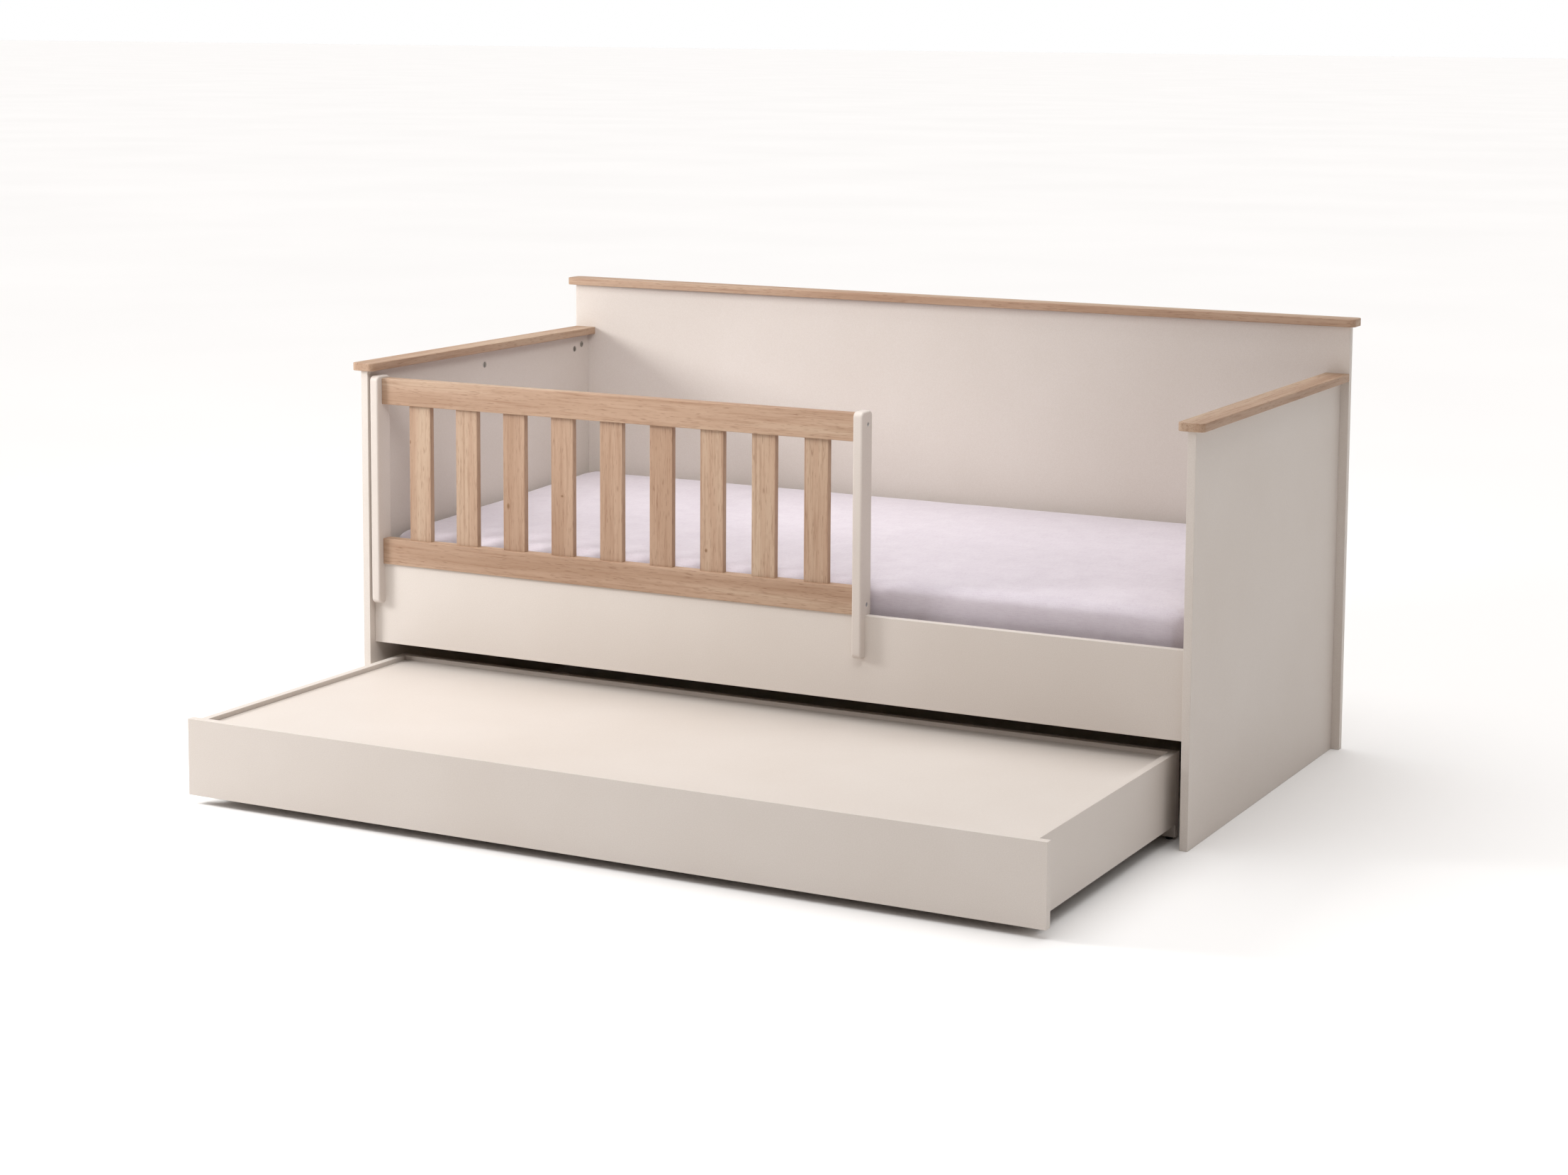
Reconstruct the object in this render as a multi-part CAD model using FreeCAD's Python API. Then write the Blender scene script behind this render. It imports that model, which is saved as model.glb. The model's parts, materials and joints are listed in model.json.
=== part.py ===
import FreeCAD, Part
import math
import os

# Children's day bed in 18 mm laminated board: a back, two sides, a front rail, a slatted
# guard over part of the front and a pull-out trundle on glides. Millimetres. +X runs along
# the bed, -Y is the side the trundle comes out of, +Z is up and the floor is z = 0.
# Sizes along Y are given from the side panels' front edges; the export moves everything
# so that the origin lies under the middle of the bed with the trundle pulled out.

# ---- driving dimensions ----
board = 18.0                # thickness of every laminated board
banding = 1.0               # rounding of the boards' banded edges

bed_length = 2040.0         # over the outer faces of the side panels
side_depth = 960.0          # side panel's front edge to the back panel's face
side_height = 861.0         # to the underside of the side caps
back_height = 988.0         # to the underside of the back cap
back_wing = 20.0            # back panel past each side panel

cap_overhang = 20.0         # cap past both faces of its panel
cap_front = 10.0            # side cap past the panel's front edge
cap_end = 15.0              # back cap past the ends of the back panel
cap_corner = 12.0           # plan radius of a cap's free corners
cap_edge = 1.5              # rounding of a cap's long edges

rail_setback = 19.0         # front rail's face behind the side panels' front edges
rail_bottom = 222.0
rail_height = 188.0

mattress_thick = 150.0
mattress_sunk = 60.0        # underside of the mattress below the top of the front rail
mattress_end_gap = 2.0      # play at each end, which leaves 2000 mm for the mattress
mattress_front_gap = 18.0   # play at the front rail, which leaves 900 mm
mattress_back_gap = 5.0
mattress_round = 25.0

ledger_depth = 28.0         # batten that carries the bed slats
ledger_height = 30.0
bed_slat_count = 12
bed_slat_width = 70.0
bed_slat_thick = 18.0
bed_slat_play = 2.0         # end of a bed slat to the rail and to the back panel
bed_slat_margin = 40.0      # outermost bed slat to a side panel

guard_length = 1270.0       # over the two posts
guard_gap = 8.0             # left post to the left side panel
post_thick = 22.0
post_depth = 50.0
post_front = 3.0            # post's front edge ahead of the side panels' front edges
post_drop = 11.0            # top of a post below the side cap
post_lap = 92.0             # how far a post hangs down over the front rail
post_corner = 12.0          # radius of a post's corners, seen from its side
post_edge = 4.0             # rounding of a post's long edges
guard_rail_height = 60.0
guard_rail_proud = 6.0      # guard rails' face ahead of the front rail's face
guard_rail_drop = 6.0       # top guard rail below the top of the posts
guard_slat_count = 9
guard_slat_width = 58.0
guard_slat_thick = 15.0
guard_slat_recess = 9.0     # guard slat's face behind the guard rails' face
guard_slat_cover = 4.0      # what the guard rails have behind a slat
guard_slat_tenon = 8.0      # guard slat let into each guard rail
guard_edge = 1.5            # rounding of the guard rails and slats

trundle_out = 665.0         # trundle's face ahead of the side panels' front edges
trundle_depth = 750.0
trundle_play = 11.0         # end of the trundle's face to a side panel
trundle_inset = 23.0        # trundle's sides in from the ends of its face
trundle_drop = 37.0         # trundle's rim below the underside of the front rail
face_clear = 19.0           # trundle's face above the floor
side_clear = 32.0           # trundle's sides above the floor
base_lip = 10.0             # rim above the trundle's base board
base_play = 1.0             # base board to the boards round it
batten_width = 18.0
batten_height = 30.0
stretcher_height = 100.0
stretcher_spacing = 640.0   # centre to centre
runner_setback = 70.0       # front runner behind the inner front board
runner_short = 20.0         # ends of the front runner short of the trundle's sides

glide_radius = 9.0
glide_height = 6.0
glide_taper = 2.0           # how much the radius shrinks towards the floor
glide_inset = 15.0          # end glides in from the ends of their board
glide_count = 4             # under the front runner and under the rear board

cam_radius = 7.5
cam_depth = 12.5
cam_setback = 34.0          # cam's centre to the edge of its board
cam_slot_width = 2.0
cam_slot_length = 11.0
cam_slot_depth = 2.0
cam_bolt_radius = 3.0
cam_thread_radius = 4.0
cam_thread = 11.0           # cam bolt's thread in the second board
cap_cam_margin = 68.0       # outer cap cams in from the ends of a panel
back_cap_cams = 5
side_cap_cams = 3
panel_cams = 3              # between a side panel and the back panel
panel_cam_low = 60.0        # lowest cam between a side and the back, above the floor
panel_cam_drop = 25.0       # highest one below the top of the side panel
low_board_margin = 12.0     # cams in from the edges of the trundle's sides
edge_margin = 30.0          # other cams and screws in from the long edges of a board

end_bolt_radius = 3.0       # bolts through the posts into the ends of the guard rails
end_bolt_length = 50.0
end_bolt_head_radius = 5.0
end_bolt_head = 4.0
end_bolt_sink = 1.0         # head below the post's outer face
end_bolt_socket = 4.0       # hexagon socket across its flats
end_bolt_margin = 23.0      # bolts in from the outer edges of the guard rails

screw_radius = 2.0
screw_head_radius = 4.0
screw_head = 2.5
screw_bite = 12.0           # screw's length in the second board, through its face
screw_end_bite = 32.0       # the same through its end
ledger_screw_count = 6
face_screw_count = 6
batten_screw_count = 3
end_margin = 100.0          # end screws of a row in from the ends of their board

# ---- places that follow from them ----
half_length = bed_length / 2
inner_half = half_length - board
back_rear = side_depth + board
cap_rear = back_rear + cap_overhang

rail_back = rail_setback + board
rail_top = rail_bottom + rail_height

mattress_bottom = rail_top - mattress_sunk
mattress_half = inner_half - mattress_end_gap
slat_bottom = mattress_bottom - bed_slat_thick
bed_slat_reach = inner_half - bed_slat_margin - bed_slat_width / 2

post_top = side_height - post_drop
post_rear = post_depth - post_front
left_post = -inner_half + guard_gap
right_post = left_post + guard_length - post_thick
guard_left = left_post + post_thick
guard_rail_front = rail_setback - guard_rail_proud
guard_slat_front = guard_rail_front + guard_slat_recess
guard_rail_back = guard_slat_front + guard_slat_thick + guard_slat_cover
guard_rail_mid = (guard_rail_front + guard_rail_back) / 2
guard_top = post_top - guard_rail_drop
guard_slat_gap = (right_post - guard_left
                  - guard_slat_count * guard_slat_width) / (guard_slat_count + 1)

rim = rail_bottom - trundle_drop
face_back = board - trundle_out
inner_front_back = face_back + board
trundle_rear = trundle_depth - trundle_out
rear_front = trundle_rear - board
face_half = inner_half - trundle_play
box_half = face_half - trundle_inset
well_half = box_half - board
base_top = rim - base_lip
base_bottom = base_top - board
stretcher_bottom = base_bottom - stretcher_height
runner_front = inner_front_back + runner_setback
runner_half = well_half - runner_short

tiny = 1e-6                 # lengths below this count as nothing


def box(x0, x1, y0, y1, z0, z1, rounding=0.0):
    solid = Part.makeBox(x1 - x0, y1 - y0, z1 - z0, FreeCAD.Vector(x0, y0, z0))
    if rounding:
        solid = solid.makeFillet(rounding, solid.Edges)
    return solid


def rod(radius, length, start, direction):
    return Part.makeCylinder(radius, length, FreeCAD.Vector(*start),
                             FreeCAD.Vector(*direction))


def cone(radius, end_radius, length, start, direction):
    return Part.makeCone(radius, end_radius, length, FreeCAD.Vector(*start),
                         FreeCAD.Vector(*direction))


def moved(place, direction, distance):
    return tuple(p + d * distance for p, d in zip(place, direction))


# Evenly spaced places from low to high, both ends included.
def spread(low, high, count):
    return [low + (high - low) * i / (count - 1) for i in range(count)]


def middle_at(edge, axis, value):
    return abs(edge.CenterOfMass[axis] - value) < tiny


def upright_edges(solid):
    return [e for e in solid.Edges if e.BoundBox.XLength + e.BoundBox.YLength < tiny]


def level_edges(solid):
    return [e for e in solid.Edges if e.BoundBox.ZLength < tiny]


# ---- boards of the bed ----
# Side is -1 for the left of the bed and 1 for the right.
def side_panel(side):
    low, high = sorted((side * inner_half, side * half_length))
    return box(low, high, 0, side_depth, 0, side_height, banding)


# A side cap is rounded at its two front corners and butts square against the back panel.
def side_cap(side):
    low, high = sorted((side * inner_half, side * half_length))
    cap = box(low - cap_overhang, high + cap_overhang, -cap_front, side_depth,
              side_height, side_height + board)
    corners = [e for e in upright_edges(cap) if middle_at(e, 1, -cap_front)]
    cap = cap.makeFillet(cap_corner, corners)
    free = [e for e in level_edges(cap) if not middle_at(e, 1, side_depth)]
    return cap.makeFillet(cap_edge, free)


def back_cap():
    half = half_length + back_wing + cap_end
    cap = box(-half, half, side_depth - cap_overhang, cap_rear,
              back_height, back_height + board)
    cap = cap.makeFillet(cap_corner, upright_edges(cap))
    return cap.makeFillet(cap_edge, level_edges(cap))


# ---- guard ----
# A post stands on the front rail's top edge and laps down over the rail's face.
def post(x):
    low = rail_top - post_lap
    solid = box(x, x + post_thick, -post_front, post_rear, low, post_top)
    solid = solid.cut(box(x, x + post_thick, rail_setback, post_rear, low, rail_top))
    along = [e for e in solid.Edges if e.BoundBox.YLength + e.BoundBox.ZLength < tiny]
    corners = [e for e in along
               if middle_at(e, 1, -post_front) or middle_at(e, 2, post_top)]
    solid = solid.makeFillet(post_corner, corners)
    outline = [e for e in solid.Edges
               if e.BoundBox.XLength < tiny
               and not middle_at(e, 1, rail_setback)
               and not middle_at(e, 2, rail_top)]
    return solid.makeFillet(post_edge, outline)


def guard_slat(index):
    left = guard_left + guard_slat_gap + index * (guard_slat_width + guard_slat_gap)
    return box(left, left + guard_slat_width,
               guard_slat_front, guard_slat_front + guard_slat_thick,
               rail_top + guard_rail_height - guard_slat_tenon,
               guard_top - guard_rail_height + guard_slat_tenon, guard_edge)


def guard_rail(bottom):
    rail = box(guard_left, right_post, guard_rail_front, guard_rail_back,
               bottom, bottom + guard_rail_height, guard_edge)
    for i in range(guard_slat_count):
        rail = rail.cut(guard_slat(i))
    return rail


def bed_slat(middle):
    return box(middle - bed_slat_width / 2, middle + bed_slat_width / 2,
               rail_back + bed_slat_play, side_depth - bed_slat_play,
               slat_bottom, mattress_bottom, banding)


nodes = {
    "back_panel": box(-half_length - back_wing, half_length + back_wing,
                      side_depth, back_rear, 0, back_height, banding),
    "back_cap": back_cap(),
    "left_side_panel": side_panel(-1),
    "right_side_panel": side_panel(1),
    "left_cap": side_cap(-1),
    "right_cap": side_cap(1),
    "front_rail": box(-inner_half, inner_half, rail_setback, rail_back,
                      rail_bottom, rail_top, banding),
    "front_ledger": box(-inner_half, inner_half, rail_back, rail_back + ledger_depth,
                        slat_bottom - ledger_height, slat_bottom),
    "rear_ledger": box(-inner_half, inner_half, side_depth - ledger_depth, side_depth,
                       slat_bottom - ledger_height, slat_bottom),
    "guard_left_post": post(left_post),
    "guard_right_post": post(right_post),
    "guard_bottom_rail": guard_rail(rail_top),
    "guard_top_rail": guard_rail(guard_top - guard_rail_height),
    "mattress": box(-mattress_half, mattress_half,
                    rail_back + mattress_front_gap, side_depth - mattress_back_gap,
                    mattress_bottom, mattress_bottom + mattress_thick, mattress_round),
}
for i in range(guard_slat_count):
    nodes["guard_slat_%d" % (i + 1)] = guard_slat(i)
bed_slats = {"bed_slat_%d" % (i + 1): middle for i, middle in
             enumerate(spread(-bed_slat_reach, bed_slat_reach, bed_slat_count))}
for name, middle in bed_slats.items():
    nodes[name] = bed_slat(middle)


# ---- boards of the trundle ----
def trundle_side(side):
    low, high = sorted((side * well_half, side * box_half))
    return box(low, high, face_back, rear_front, side_clear, rim, banding)


# A batten or stretcher runs from the inner front board to the rear board.
def bearer(low, high, height):
    return box(low, high, inner_front_back, rear_front, base_bottom - height, base_bottom)


nodes.update({
    "trundle_front_panel": box(-face_half, face_half, -trundle_out, face_back,
                               face_clear, rim, banding),
    "trundle_inner_front": box(-well_half, well_half, face_back, inner_front_back,
                               side_clear, base_bottom),
    "trundle_front_runner": box(-runner_half, runner_half,
                                runner_front, runner_front + board,
                                glide_height, stretcher_bottom),
    "trundle_left_side": trundle_side(-1),
    "trundle_right_side": trundle_side(1),
    "trundle_rear_board": box(-box_half, box_half, rear_front, trundle_rear,
                              glide_height, rim, banding),
    "trundle_base_board": box(base_play - well_half, well_half - base_play,
                              face_back + base_play, rear_front - base_play,
                              base_bottom, base_top),
    "trundle_left_batten": bearer(-well_half, batten_width - well_half, batten_height),
    "trundle_right_batten": bearer(well_half - batten_width, well_half, batten_height),
})
stretchers = {"trundle_stretcher_1": -stretcher_spacing / 2,
              "trundle_stretcher_2": stretcher_spacing / 2}
for name, middle in stretchers.items():
    nodes[name] = bearer(middle - board / 2, middle + board / 2, stretcher_height)

glides = []
for y, half in ((runner_front + board / 2, runner_half),
                (rear_front + board / 2, box_half)):
    for x in spread(glide_inset - half, half - glide_inset, glide_count):
        glides.append(cone(glide_radius - glide_taper, glide_radius, glide_height,
                           (x, y, 0), (0, 0, 1)))
nodes["trundle_glides"] = Part.makeCompound(glides)


# ---- fasteners: each one is cut out of the boards it joins ----
def drill(boards, fastener):
    for name in boards:
        nodes[name] = nodes[name].cut(fastener)


# A cam sits in a board's face and draws on a bolt that runs through the board's edge into
# the next board. Face points out of the first board and towards points at the second one.
def cam_joint(place, face, towards, boards):
    core = moved(place, face, -cam_depth / 2)
    cam = rod(cam_radius, cam_depth, moved(place, face, -cam_depth), face)
    stem = rod(cam_bolt_radius, cam_setback, core, towards)
    thread = rod(cam_thread_radius, cam_thread, moved(core, towards, cam_setback), towards)
    bolt = stem.fuse(thread)
    drill(boards, cam.fuse(bolt))
    half = []
    for f, t in zip(face, towards):
        half.append(cam_slot_depth if f else cam_slot_length / 2 if t else cam_slot_width / 2)
    x, y, z = place
    slot = box(x - half[0], x + half[0], y - half[1], y + half[1], z - half[2], z + half[2])
    return cam.cut(bolt).cut(slot), bolt


# A countersunk screw whose head is flush with the face it is driven into.
def screw(length, place, direction, boards):
    head = cone(screw_head_radius, screw_radius, screw_head, place, direction)
    solid = head.fuse(rod(screw_radius, length, place, direction)).removeSplitter()
    drill(boards, solid)
    return solid


joints = []
for side, panel, cap in ((-1, "left_side_panel", "left_cap"),
                         (1, "right_side_panel", "right_cap")):
    inwards = (-side, 0, 0)
    for y in spread(cap_cam_margin, side_depth - cap_cam_margin, side_cap_cams):
        joints.append(cam_joint((side * inner_half, y, side_height - cam_setback),
                                inwards, (0, 0, 1), [panel, cap]))
    for z in spread(panel_cam_low, side_height - panel_cam_drop, panel_cams):
        joints.append(cam_joint((side * inner_half, side_depth - cam_setback, z),
                                inwards, (0, 1, 0), [panel, "back_panel"]))
    for z in (rail_bottom + edge_margin, rail_top - edge_margin):
        joints.append(cam_joint((side * (inner_half - cam_setback), rail_back, z),
                                (0, 1, 0), (side, 0, 0), ["front_rail", panel]))
reach = half_length + back_wing - cap_cam_margin
for x in spread(-reach, reach, back_cap_cams):
    joints.append(cam_joint((x, back_rear, back_height - cam_setback),
                            (0, 1, 0), (0, 0, 1), ["back_panel", "back_cap"]))
nodes["frame_cam_locks"] = Part.makeCompound([cam for cam, bolt in joints])
nodes["frame_cam_bolts"] = Part.makeCompound([bolt for cam, bolt in joints])

joints = []
for side, panel in ((-1, "trundle_left_side"), (1, "trundle_right_side")):
    for z in (side_clear + low_board_margin,
              base_bottom - batten_height - low_board_margin):
        joints.append(cam_joint((side * well_half, face_back + cam_setback, z),
                                (-side, 0, 0), (0, -1, 0),
                                [panel, "trundle_front_panel"]))
nodes["trundle_cam_locks"] = Part.makeCompound([cam for cam, bolt in joints])
nodes["trundle_cam_bolts"] = Part.makeCompound([bolt for cam, bolt in joints])


# A bolt with a hexagon socket, sunk into a post's outer face.
def end_bolt(face_x, z, side, boards):
    inwards = (-side, 0, 0)
    place = (face_x, guard_rail_mid, z)
    seat = moved(place, inwards, end_bolt_sink)
    head = rod(end_bolt_head_radius, end_bolt_head, seat, inwards)
    solid = head.fuse(rod(end_bolt_radius, end_bolt_length, seat, inwards)).removeSplitter()
    drill(boards, solid.fuse(rod(end_bolt_head_radius, end_bolt_sink, place, inwards)))
    corner = end_bolt_socket / math.sqrt(3)
    outline = [FreeCAD.Vector(seat[0],
                              seat[1] + corner * math.cos(math.radians(60 * k)),
                              seat[2] + corner * math.sin(math.radians(60 * k)))
               for k in range(7)]
    socket = Part.Face(Part.makePolygon(outline))
    return solid.cut(socket.extrude(FreeCAD.Vector(*inwards) * (end_bolt_head / 2)))


end_bolts = []
for face_x, side, name in ((left_post, -1, "guard_left_post"),
                           (right_post + post_thick, 1, "guard_right_post")):
    for z, rail in ((rail_top + end_bolt_margin, "guard_bottom_rail"),
                    (guard_top - end_bolt_margin, "guard_top_rail")):
        end_bolts.append(end_bolt(face_x, z, side, [name, rail]))
nodes["guard_end_bolts"] = Part.makeCompound(end_bolts)

screws = []
for x, name in ((left_post, "guard_left_post"), (right_post, "guard_right_post")):
    for z in (rail_top - post_lap / 4, rail_top - post_lap * 3 / 4):
        screws.append(screw(board + screw_bite, (x + post_thick / 2, rail_back, z), (0, -1, 0),
                            ["front_rail", name]))
nodes["guard_post_screws"] = Part.makeCompound(screws)

screws = []
for x in spread(end_margin - inner_half, inner_half - end_margin, ledger_screw_count):
    z = slat_bottom - ledger_height / 2
    screws.append(screw(ledger_depth + screw_bite, (x, rail_back + ledger_depth, z), (0, -1, 0),
                        ["front_ledger", "front_rail"]))
    screws.append(screw(ledger_depth + screw_bite, (x, side_depth - ledger_depth, z), (0, 1, 0),
                        ["rear_ledger", "back_panel"]))
nodes["ledger_screws"] = Part.makeCompound(screws)

screws = []
for name, middle in bed_slats.items():
    for y, ledger in ((rail_back + ledger_depth / 2, "front_ledger"),
                      (side_depth - ledger_depth / 2, "rear_ledger")):
        screws.append(screw(bed_slat_thick + screw_bite, (middle, y, mattress_bottom),
                            (0, 0, -1), [name, ledger]))
nodes["bed_slat_screws"] = Part.makeCompound(screws)

screws = []
for x in spread(end_margin - well_half, well_half - end_margin, face_screw_count):
    z = (face_clear + base_bottom) / 2
    screws.append(screw(board + screw_bite, (x, inner_front_back, z), (0, -1, 0),
                        ["trundle_inner_front", "trundle_front_panel"]))
nodes["trundle_face_screws"] = Part.makeCompound(screws)

screws = []
for x, name in ((board / 2 - box_half, "trundle_left_side"),
                (box_half - board / 2, "trundle_right_side")):
    for z in (side_clear + edge_margin, base_bottom - edge_margin):
        screws.append(screw(board + screw_end_bite, (x, trundle_rear, z), (0, -1, 0),
                            ["trundle_rear_board", name]))
for name, x in stretchers.items():
    for z in (base_bottom - stretcher_height / 2, base_bottom - edge_margin):
        screws.append(screw(board + screw_end_bite, (x, trundle_rear, z), (0, -1, 0),
                            ["trundle_rear_board", name]))
        screws.append(screw(board + screw_end_bite, (x, face_back, z), (0, 1, 0),
                            ["trundle_inner_front", name]))
    screws.append(screw(stretcher_bottom - glide_height + screw_end_bite,
                        (x, runner_front + board / 2, glide_height), (0, 0, 1),
                        ["trundle_front_runner", name]))
nodes["trundle_box_screws"] = Part.makeCompound(screws)

screws = []
for side, name, panel in ((-1, "trundle_left_batten", "trundle_left_side"),
                          (1, "trundle_right_batten", "trundle_right_side")):
    for y in spread(inner_front_back + end_margin, rear_front - end_margin,
                    batten_screw_count):
        place = (side * (well_half - batten_width), y, base_bottom - batten_height / 2)
        screws.append(screw(batten_width + screw_bite, place, (side, 0, 0), [name, panel]))
nodes["trundle_batten_screws"] = Part.makeCompound(screws)

os.makedirs("parts", exist_ok=True)
to_origin = FreeCAD.Vector(0, (trundle_out - cap_rear) / 2, 0)
for name, shape in nodes.items():
    shape.translate(to_origin)
    shape.exportStep("parts/%s.step" % name)
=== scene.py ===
import json
import math

import bpy
from mathutils import Matrix, Vector, noise

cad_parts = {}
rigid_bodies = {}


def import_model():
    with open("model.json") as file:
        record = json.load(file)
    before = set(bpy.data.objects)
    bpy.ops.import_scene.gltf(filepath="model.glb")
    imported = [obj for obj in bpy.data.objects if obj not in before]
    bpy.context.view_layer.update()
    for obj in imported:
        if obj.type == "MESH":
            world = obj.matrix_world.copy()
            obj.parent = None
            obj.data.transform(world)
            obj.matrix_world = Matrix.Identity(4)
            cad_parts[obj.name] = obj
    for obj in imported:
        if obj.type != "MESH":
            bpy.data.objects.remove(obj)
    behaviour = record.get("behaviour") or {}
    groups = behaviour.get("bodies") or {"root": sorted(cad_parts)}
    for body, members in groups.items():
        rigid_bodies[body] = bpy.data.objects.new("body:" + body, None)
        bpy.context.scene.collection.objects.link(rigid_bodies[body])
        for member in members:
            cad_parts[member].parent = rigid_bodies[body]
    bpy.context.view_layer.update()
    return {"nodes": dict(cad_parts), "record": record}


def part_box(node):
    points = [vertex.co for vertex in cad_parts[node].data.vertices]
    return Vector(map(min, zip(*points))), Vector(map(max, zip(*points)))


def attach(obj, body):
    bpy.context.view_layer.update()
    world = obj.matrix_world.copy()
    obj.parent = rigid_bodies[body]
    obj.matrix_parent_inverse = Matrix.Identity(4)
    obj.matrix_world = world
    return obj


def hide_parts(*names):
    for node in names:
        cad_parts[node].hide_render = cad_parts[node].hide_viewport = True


# A children's day bed with a guard and a pull-out trundle. Metres, the bed's own frame.

for leftover in list(bpy.data.objects):
    bpy.data.objects.remove(leftover)
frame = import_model()
nodes = frame["nodes"]
mm = 0.001
alongX, alongY, alongZ = 0, 1, 2


def deselectAll():
    bpy.ops.object.select_all(action="DESELECT")


def pickUp(piece):
    deselectAll()
    piece.select_set(True)
    bpy.context.view_layer.objects.active = piece


def applyModifier(piece, kind, name, **settings):
    modifier = piece.modifiers.new(name, kind)
    for key, value in settings.items():
        setattr(modifier, key, value)
    pickUp(piece)
    bpy.ops.object.modifier_apply(modifier=name)


def settle(piece):
    pickUp(piece)
    bpy.ops.object.transform_apply(location=True, rotation=True, scale=True)


# ---- colours and nodes ----
def linear(hexColour):
    channels = [int(hexColour[k:k + 2], 16) / 255 for k in (1, 3, 5)]
    out = [c / 12.92 if c <= 0.04045 else ((c + 0.055) / 1.055) ** 2.4 for c in channels]
    return (*out, 1.0)


# Gives a node its inputs, as values or as links.
def feed(tree, node, inputs):
    for key, value in inputs.items():
        if isinstance(value, bpy.types.NodeSocket):
            tree.links.new(value, node.inputs[key])
        else:
            node.inputs[key].default_value = value


# Adds one node with its settings, its inputs and its colour stops.
def addNode(tree, kind, inputs=None, stops=None, **settings):
    node = tree.nodes.new(kind)
    for key, value in settings.items():
        setattr(node, key, value)
    feed(tree, node, inputs or {})
    if stops:
        elements = node.color_ramp.elements
        while len(elements) < len(stops):
            elements.new(0.5)
        for element, (position, colour) in zip(elements, stops):
            element.position = position
            element.color = linear(colour)
    return node


def startMaterial(name):
    material = bpy.data.materials.new(name)
    material.use_nodes = True
    tree = material.node_tree
    tree.nodes.clear()
    shader = addNode(tree, "ShaderNodeBsdfPrincipled")
    addNode(tree, "ShaderNodeOutputMaterial", {"Surface": shader.outputs[0]})
    coords = addNode(tree, "ShaderNodeTexCoord").outputs["Object"]
    return material, tree, shader, coords


def perMetre(size):
    return 1 / (size * mm)


def stretched(tree, coords, along, across, length):
    scale = [perMetre(across)] * 3
    scale[along] = perMetre(length)
    return addNode(tree, "ShaderNodeMapping", {"Vector": coords, "Scale": scale}).outputs[0]


def cloud(tree, vector, detail=2.0, roughness=0.5, scale=1.0):
    return addNode(tree, "ShaderNodeTexNoise", {"Vector": vector, "Scale": scale,
                   "Detail": detail, "Roughness": roughness}).outputs[0]


def mixed(tree, factor, first, second, blend="MIX"):
    return addNode(tree, "ShaderNodeMix", {0: factor, 6: first, 7: second},
                   data_type="RGBA", blend_type=blend).outputs[2]


def ramped(tree, factor, places, colours):
    return addNode(tree, "ShaderNodeValToRGB", {0: factor},
                   list(zip(places, colours))).outputs[0]


def remapped(tree, value, source, target, interpolation="LINEAR"):
    return addNode(tree, "ShaderNodeMapRange", {0: value, 1: source[0], 2: source[1],
                   3: target[0], 4: target[1]}, interpolation_type=interpolation).outputs[0]


def scalarMath(tree, operation, first, second):
    return addNode(tree, "ShaderNodeMath", {0: first, 1: second},
                   operation=operation).outputs[0]


def vectorMath(tree, operation, first, second):
    key = "Scale" if operation == "SCALE" else 1
    return addNode(tree, "ShaderNodeVectorMath", {0: first, key: second},
                   operation=operation).outputs[0]


def bumped(tree, height, strength, distance, under=None):
    inputs = {"Strength": strength, "Distance": distance * mm, "Height": height}
    if under is not None:
        inputs["Normal"] = under
    return addNode(tree, "ShaderNodeBump", inputs).outputs[0]


# Clouds seldom leave this range, so two colours or two roughnesses are spread over it.
cloudRange = (0.3, 0.7)

# Chipboard faced with melamine paper: a satin film with a fine pearled emboss, which
# scatters highlights a little and shows no grain.
# Its colour carries painted shade: a little darker in the emboss's hollows than on its tops.
melamine = {
    "body": ("#d3cac2", "#d8d0c9"),
    "cloudSize": 380,           # mm, slow drift of the print
    # painted shade of the emboss: darker in its hollows, white on its tops
    "pearlAndShade": ("#f4f1ee", "#ffffff"),
    "pearlSize": 2.2,           # mm, the emboss is 0.4 mm and is drawn coarser to show
    "pearlShadeEdges": (0.35, 0.65),
    "pearlShadeShare": 0.5,
    "roughness": (0.40, 0.50),
    "bump": (0.10, 0.2),        # strength, depth in mm
    "ior": 1.5,
}


def cashmereMelamine(name, look):
    material, tree, shader, coords = startMaterial(name)
    drift = cloud(tree, coords, 3, 0.5, perMetre(look["cloudSize"]))
    pearlAndShade = cloud(tree, coords, 2, 0.6, perMetre(look["pearlSize"]))
    body = ramped(tree, drift, cloudRange, look["body"])
    # painted shade: the colour follows the emboss, darker in its hollows
    embossShade = ramped(tree, pearlAndShade, look["pearlShadeEdges"], look["pearlAndShade"])
    feed(tree, shader, {
        "Base Color": mixed(tree, look["pearlShadeShare"], body, embossShade, "MULTIPLY"),
        "Roughness": remapped(tree, pearlAndShade, cloudRange, look["roughness"]),
        "Normal": bumped(tree, pearlAndShade, *look["bump"]),
        "IOR": look["ior"],
    })
    return material


# Oak decor: a printed oak picture under matt melamine, pressed with pores that follow the
# print. Light honey brown with darker streaks, short dark pores and a few small knots.
oakDecor = {
    "tone": ("#a18168", "#af9179", "#b9a088"),
    "toneSize": (42, 900),      # mm across and along the grain
    "streak": "#8e694f",
    "streakSize": (5.5, 170),
    "streakDepth": 0.62,
    "pore": "#78553c",
    "poreSize": (1.7, 24),      # pores are 0.3 mm wide and are drawn wider to show
    "poreDepth": 0.55,
    "knot": "#74502f",
    "roughness": (0.50, 0.62),
    "bump": (0.30, 0.3),        # strength, depth in mm
}
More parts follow.
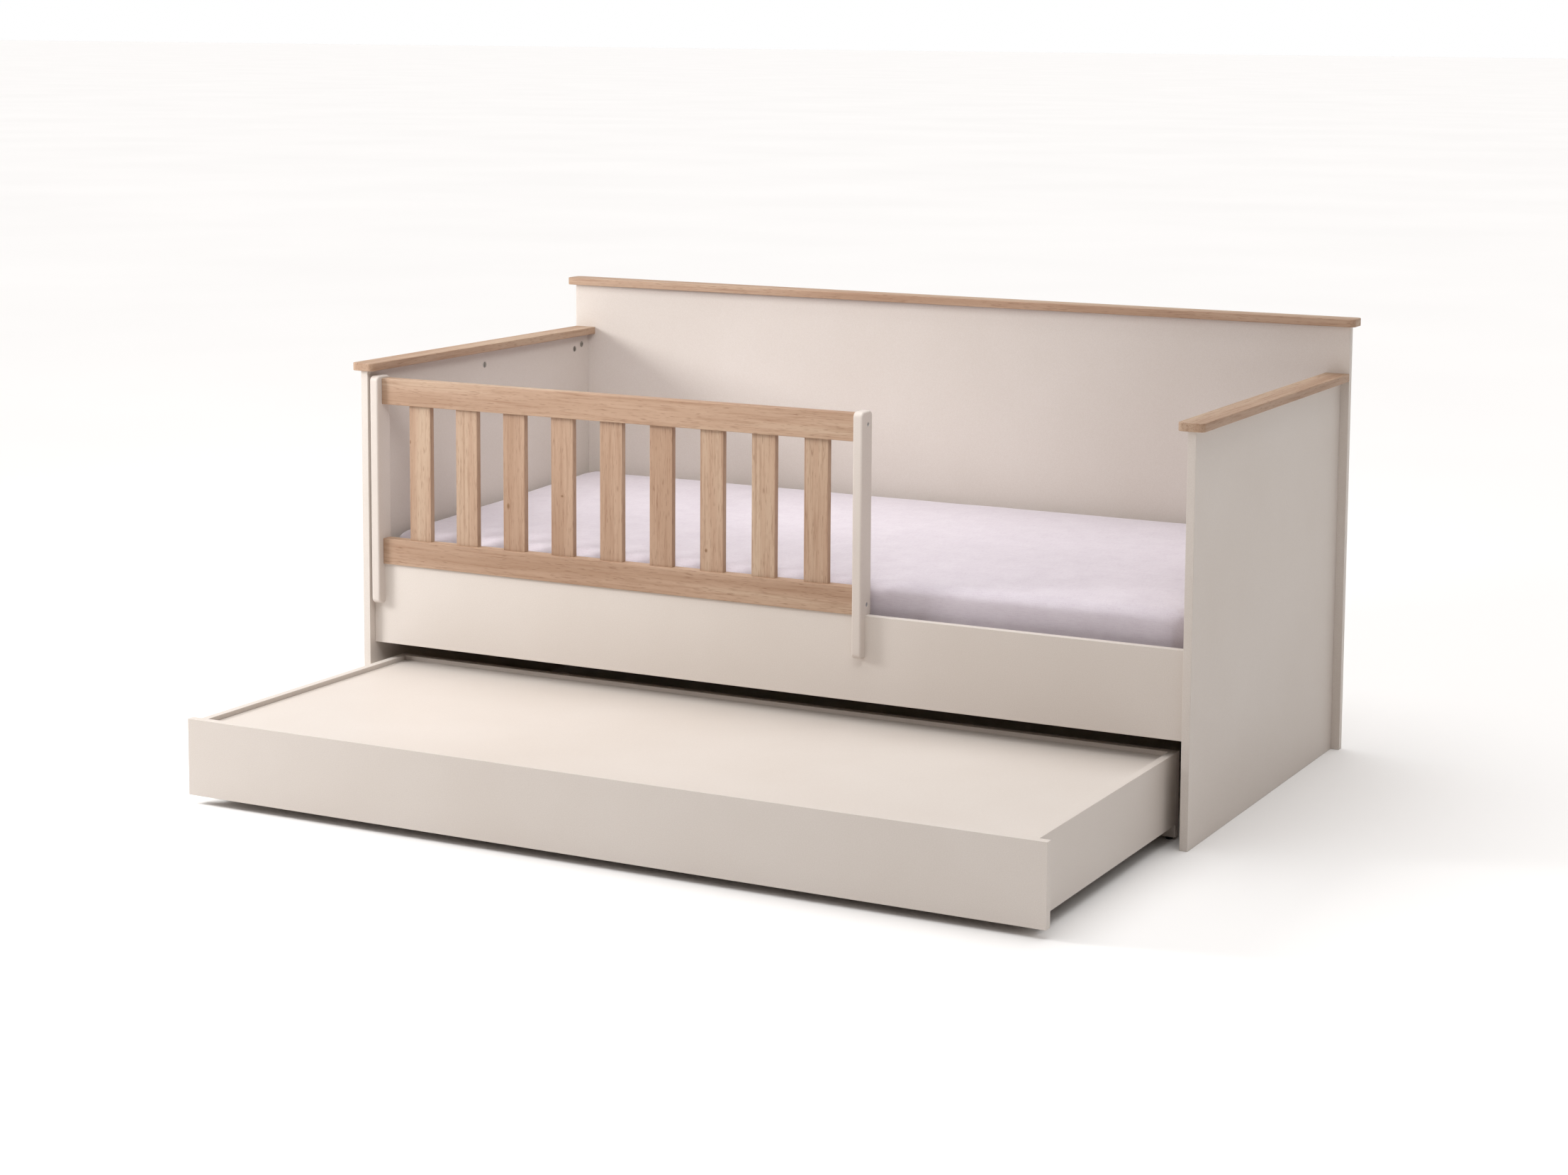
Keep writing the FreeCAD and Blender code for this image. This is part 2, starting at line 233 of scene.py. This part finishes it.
# Spruce: planed and bare, pale with wide soft rings and no pores.
spruce = {
    "tone": ("#d9b98a", "#e2c698", "#e9d2a8"),
    "toneSize": (30, 700),
    "streak": "#c39a62",
    "streakSize": (4.5, 260),
    "streakDepth": 0.55,
    "pore": "#b98f5c",
    "poreSize": (1.6, 40),
    "poreDepth": 0.25,
    "knot": "#7a4a28",
    "roughness": (0.58, 0.70),
    "bump": (0.25, 0.3),
}
# What both timbers share: the grain wanders slowly and swings round its knots.
grain = {
    "wanderSize": (60, 260),    # mm across and along the grain
    "sway": 7 * mm,
    "swingReach": (4.0, 0.6),   # in knot sizes, from where the swing starts to where it is full
    "swing": -0.55,
    "heartReach": (1.5, 0.35),  # the same for the dark heart
    "heartShare": 0.85,
    "toneEdges": (0.32, 0.5, 0.68),
    "streakEdges": (0.50, 0.30),
    "poreEdges": (0.40, 0.27),
}


# Knots are (place, across, along) in metres.
def timber(name, look, along, knots=()):
    material, tree, shader, coords = startMaterial(name)
    wander = cloud(tree, stretched(tree, coords, along, *grain["wanderSize"]), 2)
    sway = vectorMath(tree, "SUBTRACT", wander, (0.5, 0.5, 0.5))
    small = vectorMath(tree, "SCALE", sway, grain["sway"])
    flow = vectorMath(tree, "ADD", coords, small)
    knotMask = None
    for place, across, length in knots:
        offset = vectorMath(tree, "SUBTRACT", flow, place)
        size = [1 / across] * 3
        size[along] = 1 / length
        shaped = vectorMath(tree, "MULTIPLY", offset, size)
        reach = addNode(tree, "ShaderNodeVectorMath", {0: shaped},
                        operation="LENGTH").outputs["Value"]
        near = remapped(tree, reach, grain["swingReach"], (0.0, 1.0), "SMOOTHERSTEP")
        push = vectorMath(tree, "SCALE", offset, near)
        part = vectorMath(tree, "SCALE", push, grain["swing"])
        flow = vectorMath(tree, "ADD", flow, part)
        heart = remapped(tree, reach, grain["heartReach"], (0.0, 1.0), "SMOOTHSTEP")
        knotMask = heart if knotMask is None else scalarMath(tree, "MAXIMUM", knotMask, heart)
    tone = cloud(tree, stretched(tree, flow, along, *look["toneSize"]), 3, 0.55)
    streak = cloud(tree, stretched(tree, flow, along, *look["streakSize"]), 4, 0.62)
    pore = cloud(tree, stretched(tree, flow, along, *look["poreSize"]), 1, 0.4)
    colour = ramped(tree, tone, grain["toneEdges"], look["tone"])
    streaks = remapped(tree, streak, grain["streakEdges"], (0.0, look["streakDepth"]))
    pores = remapped(tree, pore, grain["poreEdges"], (0.0, look["poreDepth"]))
    colour = mixed(tree, streaks, colour, linear(look["streak"]))
    colour = mixed(tree, pores, colour, linear(look["pore"]))
    if knotMask is not None:
        knotShare = scalarMath(tree, "MULTIPLY", knotMask, grain["heartShare"])
        colour = mixed(tree, knotShare, colour, linear(look["knot"]))
    smooth, coarse = look["roughness"]
    depth = scalarMath(tree, "MULTIPLY", pores, -1.0)
    height = scalarMath(tree, "ADD", depth, streak)
    feed(tree, shader, {
        "Base Color": colour,
        "Roughness": remapped(tree, streak, cloudRange, (coarse, smooth)),
        "Normal": bumped(tree, height, *look["bump"]),
    })
    return material


# Cotton percale: plain weave, matt, with a soft bloom from loose fibre at grazing angles. Its
# colour carries painted shade in the gaps of the weave and in the crease hollows.
percale = {
    # the sheet's own lilac grey, painted a little darker in the hollows of the creases as
    # painted shade
    "body": ("#c9c0c8", "#d0c8cf"),
    # painted shade of the weave: darker in the gaps between threads, white on their tops
    "weaveAndShade": ("#f5f2f5", "#ffffff"),
    "weaveShadeEdges": (0.8, 1.0),   # of warp and weft together
    "thread": 1.6,              # mm, threads are 0.3 mm apart and are drawn coarser to show
    "slub": 20,                 # mm, length of a thicker stretch of thread
    "creaseSize": 55,           # mm
    "creaseBump": (0.25, 1.5),  # strength, depth in mm
    "weaveBump": (0.18, 0.3),
    "roughness": 0.92,
    "sheen": (0.25, 0.6),       # weight, roughness
}


def cottonPercale(name, look):
    material, tree, shader, coords = startMaterial(name)
    crease = cloud(tree, coords, 4, 0.6, perMetre(look["creaseSize"]))
    warp, weft = (cloud(tree, stretched(tree, coords, along, look["thread"], look["slub"]))
                  for along in (alongX, alongY))
    weaveAndShade = scalarMath(tree, "ADD", warp, weft)
    # the sheet's own colour, with painted shade in the crease hollows
    body = ramped(tree, crease, cloudRange, look["body"])
    # painted shade in the gaps of the weave
    shade = ramped(tree, weaveAndShade, look["weaveShadeEdges"], look["weaveAndShade"])
    creased = bumped(tree, crease, *look["creaseBump"])
    feed(tree, shader, {
        "Base Color": mixed(tree, 1.0, body, shade, "MULTIPLY"),
        "Roughness": look["roughness"],
        "Normal": bumped(tree, weaveAndShade, *look["weaveBump"], creased),
        "Sheen Weight": look["sheen"][0],
        "Sheen Roughness": look["sheen"][1],
    })
    return material


# Zinc: die-cast cams are dull and slightly mottled, plated steel is brighter and turned.
dieCast = {
    "body": ("#8f8d88", "#b4b2ac"),
    "mottleSize": 2.0,          # mm
    "roughness": (0.38, 0.52),
}
platedSteel = {
    "body": ("#b9bcc0", "#d3d5d6"),
    "mottleSize": 1.2,
    "roughness": (0.20, 0.32),
}


def zinc(name, look):
    material, tree, shader, coords = startMaterial(name)
    spots = cloud(tree, coords, 3, 0.6, perMetre(look["mottleSize"]))
    feed(tree, shader, {
        "Base Color": ramped(tree, spots, cloudRange, look["body"]),
        "Roughness": remapped(tree, spots, cloudRange, look["roughness"]),
        "Metallic": 1.0,
    })
    return material


# Polyethylene: moulded, waxy black with faint scuffs.
polyethylene = {
    "body": ("#141313", "#2b2929"),
    "scuffSize": 3,             # mm
    "scuffEdges": (0.35, 0.75),
    "roughness": (0.38, 0.55),
    "ior": 1.51,
}


def blackPolyethylene(name, look):
    material, tree, shader, coords = startMaterial(name)
    scuff = cloud(tree, coords, 4, 0.7, perMetre(look["scuffSize"]))
    feed(tree, shader, {
        "Base Color": ramped(tree, scuff, look["scuffEdges"], look["body"]),
        "Roughness": remapped(tree, scuff, cloudRange, look["roughness"]),
        "IOR": look["ior"],
    })
    return material


# ---- finishes on the boards and fittings ----
# A knot on a guard slat: how far across and up the slat, then its half sizes in mm.
slatKnots = {
    "guard_slat_1": [(0.05, 0.72, 1.6, 4.5)],
    "guard_slat_3": [(0.22, 0.33, 4.0, 6.5)],
    "guard_slat_4": [(0.52, 0.44, 3.6, 2.6)],
    "guard_slat_7": [(0.25, 0.16, 3.4, 4.5)],
}


def knotsOn(node):
    low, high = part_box(node)
    found = []
    for across, up, halfWide, halfTall in slatKnots.get(node, []):
        place = (low.x + (high.x - low.x) * across, low.y, low.z + (high.z - low.z) * up)
        found.append((place, halfWide * mm, halfTall * mm))
    return found


boardFinish = cashmereMelamine("cashmereMelamine", melamine)
postFinish = cashmereMelamine("cashmereWrap", dict(melamine, body=("#d0c6be", "#d5ccc5")))
oakX = timber("oakDecorAlongX", oakDecor, alongX)
oakY = timber("oakDecorAlongY", oakDecor, alongY)
oakZ = timber("oakDecorAlongZ", oakDecor, alongZ)
spruceX = timber("spruceAlongX", spruce, alongX)
spruceY = timber("spruceAlongY", spruce, alongY)
finishBySlot = {
    "cashmere_laminate": boardFinish,
    "painted_post": postFinish,
    "zinc_cam": zinc("zincDieCast", dieCast),
    "zinc_steel": zinc("zincPlatedSteel", platedSteel),
    "black_glide": blackPolyethylene("blackPolyethylene", polyethylene),
}
for row in frame["record"]["subparts"]:
    name, slot = row["node"], row["material_slot"]
    if slot == "oak_decor" and "slat" in name:
        finish = timber("oakDecor_" + name, oakDecor, alongZ, knotsOn(name)) \
            if name in slatKnots else oakZ
    elif slot == "oak_decor":
        finish = oakY if name in ("left_cap", "right_cap") else oakX
    elif slot == "spruce":
        finish = spruceX if "ledger" in name else spruceY
    else:
        finish = finishBySlot.get(slot, boardFinish)
    nodes[name].material_slots[0].material = finish
print("finishes on", len(nodes), "nodes")

# ---- mattress in its fitted sheet ----
mattress = {
    "slack": 5 * mm,            # the block starts this much inside its place
    "corner": 45 * mm,          # rounding of the upright edges
    "edge": 26 * mm,            # rounding of the top and bottom edges
    "bevelSegments": 5,
    "voxel": 15 * mm,
    "pressure": 4.0,
    "steps": 20,
    "clothQuality": 5,
    "swell": 6 * mm,            # no point moves further than this
    "topFront": 480 * mm,       # the foam lies a little lower at the front
    "topBack": 514 * mm,
    "ripple": 1.3 * mm,
    "longRipple": (4.2, 6.5, 3.0),    # turns per metre in X and in Y, layer of the noise
    "shortRipple": (11, 9, 8.0),
    "shortShare": 0.5,
    "cornerPull": 2.2 * mm,
    "pullReach": 120 * mm,
    "pullPitch": 9 * mm,
}


def mattressBlock(look):
    low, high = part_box("mattress")
    middle, size = (low + high) / 2, high - low - Vector([2 * look["slack"]] * 3)
    deselectAll()
    bpy.ops.mesh.primitive_cube_add(size=1, location=middle)
    block = bpy.context.object
    block.name = "mattressInFittedSheet"
    block.scale = size
    settle(block)
    for upright, radius in ((True, look["corner"]), (False, look["edge"])):
        bpy.ops.object.mode_set(mode="EDIT")
        bpy.ops.mesh.select_mode(type="EDGE")
        bpy.ops.mesh.select_all(action="DESELECT")
        bpy.ops.object.mode_set(mode="OBJECT")
        points = block.data.vertices
        for edge in block.data.edges:
            a, b = (points[i].co for i in edge.vertices)
            rises = abs(a.z - b.z) > size.z / 2
            onRim = min(abs(v.z - z) for v in (a, b) for z in
                        (middle.z - size.z / 2, middle.z + size.z / 2)) < mm
            edge.select = rises if upright else (onRim and not rises)
        bpy.ops.object.mode_set(mode="EDIT")
        bpy.ops.mesh.bevel(offset=radius, segments=look["bevelSegments"], profile=0.5)
        bpy.ops.object.mode_set(mode="OBJECT")
    applyModifier(block, "REMESH", "evenSkin", mode="VOXEL", voxel_size=look["voxel"])
    return block


# The sheet is blown out by the foam for a few steps, and each point's way is capped.
def swell(block, look):
    start = [v.co.copy() for v in block.data.vertices]
    pickUp(block)
    cloth = block.modifiers.new("foamPressure", "CLOTH")
    cloth.settings.use_pressure = True
    cloth.settings.uniform_pressure_force = look["pressure"]
    cloth.settings.effector_weights.gravity = 0
    cloth.settings.quality = look["clothQuality"]
    scene = bpy.context.scene
    for step in range(1, look["steps"] + 1):
        scene.frame_set(step)
    bpy.ops.object.modifier_apply(modifier="foamPressure")
    scene.frame_set(1)
    for vertex, home in zip(block.data.vertices, start):
        way = vertex.co - home
        if way.length > look["swell"]:
            vertex.co = home + way * (look["swell"] / way.length)


def rippleAt(point, wave):
    perX, perY, layer = wave
    return noise.noise(Vector((point.x * perX, point.y * perY, layer)))


# Lays the block on the slats: flat below, leaning top, soft ripples and pulls at corners.
def shapeMattress(block, look):
    low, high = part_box("mattress")
    for vertex in block.data.vertices:
        p = vertex.co
        p.x = min(max(p.x, low.x), high.x)
        p.y = min(max(p.y, low.y), high.y)
        share = min(max((p.z - low.z) / (high.z - low.z), 0), 1)
        back = (p.y - low.y) / (high.y - low.y)
        top = look["topFront"] + (look["topBack"] - look["topFront"]) * back
        p.z = low.z + share * (top - low.z)
        wave = rippleAt(p, look["longRipple"])
        wave += look["shortShare"] * rippleAt(p, look["shortRipple"])
        p.z += look["ripple"] * wave * share
        reach = Vector((high.x - abs(p.x), min(p.y - low.y, high.y - p.y)))
        near = math.exp(-reach.length / look["pullReach"])
        fold = math.sin((reach.x - reach.y) / look["pullPitch"])
        p.z += look["cornerPull"] * near * fold * share ** 3
        p.z = max(p.z, low.z)


mattressPiece = mattressBlock(mattress)
swell(mattressPiece, mattress)
shapeMattress(mattressPiece, mattress)
applyModifier(mattressPiece, "SUBSURF", "softSkin", levels=1, render_levels=1)
bpy.ops.object.shade_smooth()
mattressPiece.data.materials.append(cottonPercale("cottonPercale", percale))
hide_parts("mattress")
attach(mattressPiece, "frame")
print("mattress", len(mattressPiece.data.polygons), "faces")

# ---- studio ----
studio = {
    "floorColour": ("#f5f4f3", "#f8f7f6"),
    "floorDrift": 0.4,          # clouds per metre
    "floorSize": 400.0,
    "floorThickness": 0.2,
    "sky": ("#ffffff", "#bdbbba"),
    "skyHeights": (0.03, 0.14),
    "flag": "#5a4a40",          # low dark screens to the right and in front of the bed
    "flagSides": (0.1, 0.6),
    "flagHeights": (0.5, 0.3),
    # from, at, side, power in W and the grid's opening in degrees
    "key": ((-3.0, -1.6, 1.72), (0.3, 0.6, 0.5), 0.8, 66, 180),
    "fill": ((0.8, -1.5, 2.6), (-0.7, 0.8, 0.5), 1.2, 4.2, 50),
    "overheadStrength": 1.95,
    "overheadHeight": 6,
    "overheadLean": (-3, -6),   # degrees about X and about Y
    "overheadSpread": 70,       # degrees, as wide as a silk over the whole set
}


def paintedFloor(name, look):
    material, tree, shader, coords = startMaterial(name)
    drift = cloud(tree, coords, 2, 0.5, look["floorDrift"])
    feed(tree, shader, {
        "Base Color": ramped(tree, drift, cloudRange, look["floorColour"]),
        "Roughness": 0.9,
        "Specular IOR Level": 0.1,
    })
    return material


# A wide slab whose far edge lies at the horizon.
def studioFloor(look):
    deselectAll()
    bpy.ops.mesh.primitive_plane_add(size=look["floorSize"])
    floor = bpy.context.object
    floor.name = "studioFloor"
    bpy.ops.object.mode_set(mode="EDIT")
    bpy.ops.mesh.select_all(action="SELECT")
    bpy.ops.mesh.extrude_region_move(
        TRANSFORM_OT_translate={"value": (0, 0, -look["floorThickness"])})
    bpy.ops.mesh.select_all(action="SELECT")
    bpy.ops.mesh.normals_make_consistent(inside=False)
    bpy.ops.object.mode_set(mode="OBJECT")
    floor.data.materials.append(paintedFloor("mattPaint", look))


def hang(name, lamp, place, turn):
    holder = bpy.data.objects.new(name, lamp)
    holder.location = place
    holder.rotation_euler = turn
    bpy.context.scene.collection.objects.link(holder)


def softbox(name, origin, target, side, power, grid):
    lamp = bpy.data.lights.new(name, "AREA")
    lamp.shape = "SQUARE"
    lamp.size = side
    lamp.energy = power
    lamp.spread = math.radians(grid)
    aim = Vector(target) - Vector(origin)
    hang(name, lamp, origin, aim.to_track_quat("-Z", "Y").to_euler())


def overheadSilk(look):
    lamp = bpy.data.lights.new("overheadSilk", "SUN")
    lamp.angle = math.radians(look["overheadSpread"])
    lamp.energy = look["overheadStrength"]
    x, y = (math.radians(a) for a in look["overheadLean"])
    hang("overheadSilk", lamp, (0, 0, look["overheadHeight"]), (x, y, 0))


# White at the horizon and dimmer higher up, so that the front of the bed keeps its shading.
def studioAir(look):
    world = bpy.data.worlds.new("studioAir")
    bpy.context.scene.world = world
    world.use_nodes = True
    tree = world.node_tree
    direction = addNode(tree, "ShaderNodeTexCoord").outputs["Generated"]
    parts = addNode(tree, "ShaderNodeSeparateXYZ", {"Vector": direction}).outputs
    sky = ramped(tree, parts["Z"], look["skyHeights"], look["sky"])
    forward = scalarMath(tree, "MULTIPLY", parts["Y"], -1.0)
    side = scalarMath(tree, "MAXIMUM", parts["X"], forward)
    turned = remapped(tree, side, look["flagSides"], (0.0, 1.0))
    low = remapped(tree, parts["Z"], look["flagHeights"], (0.0, 1.0))
    share = scalarMath(tree, "MULTIPLY", turned, low)
    feed(tree, tree.nodes["Background"],
         {"Color": mixed(tree, share, sky, linear(look["flag"]))})


studioFloor(studio)
softbox("keySoftbox", *studio["key"])
softbox("fillSoftbox", *studio["fill"])
overheadSilk(studio)
studioAir(studio)
bpy.context.scene.view_settings.view_transform = "Standard"
print("studio")

# ---- camera ----
view = {
    "place": (2.9651, -5.5619, 1.6534),
    "turn": 26.64,              # degrees to the left of straight ahead
    "tilt": -6.52,
    "roll": 0.47,
    "lens": 66.16,              # mm on a 36 mm wide sensor
    "shift": (-0.0458, -0.1461),
}
lens = bpy.data.cameras.new("studioCamera")
lens.sensor_width = 36
lens.lens = view["lens"]
lens.shift_x, lens.shift_y = view["shift"]
camera = bpy.data.objects.new("studioCamera", lens)
camera.matrix_world = (Matrix.Translation(view["place"])
                       @ Matrix.Rotation(math.radians(view["turn"]), 4, "Z")
                       @ Matrix.Rotation(math.radians(90 + view["tilt"]), 4, "X")
                       @ Matrix.Rotation(math.radians(view["roll"]), 4, "Z"))
bpy.context.scene.collection.objects.link(camera)
bpy.context.scene.camera = camera
print("camera")
